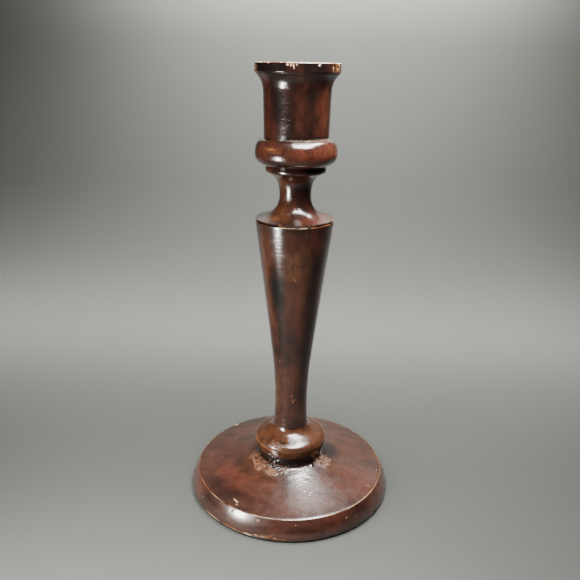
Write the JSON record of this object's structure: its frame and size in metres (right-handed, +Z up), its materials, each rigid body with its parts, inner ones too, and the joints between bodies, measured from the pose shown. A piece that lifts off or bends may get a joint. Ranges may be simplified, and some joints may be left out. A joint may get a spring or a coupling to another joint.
{
  "type": "candlestick",
  "caption": "Turned dark-stained wooden candlestick: round domed base, stem tapering down to a bead, and a flanged nozzle with a plain socket for a dinner candle.",
  "frame": {"origin": "centre of the foot, on the surface that the candlestick stands on", "axes": "+Z up along the turning axis; -Y is taken as the front"},
  "size_m": [0.1218, 0.1218, 0.25],
  "materials": {
    "base_wood": "dark red-brown mahogany stain under a worn semi-gloss varnish",
    "stem_wood": "near-black brown stain under a glossy, rippled varnish",
    "nozzle_wood": "dark red-brown stain under a glossy varnish, chipped to bare wood at the rim",
    "screw_steel": "plain steel wood screw, slightly dulled",
    "baize": "dark green wool baize"
  },
  "bodies": {
    "root": {"base": "base_wood", "stem": "stem_wood", "nozzle": "nozzle_wood", "base_screw": "screw_steel", "baize_pad": "baize"}
  },
  "joints": []
}
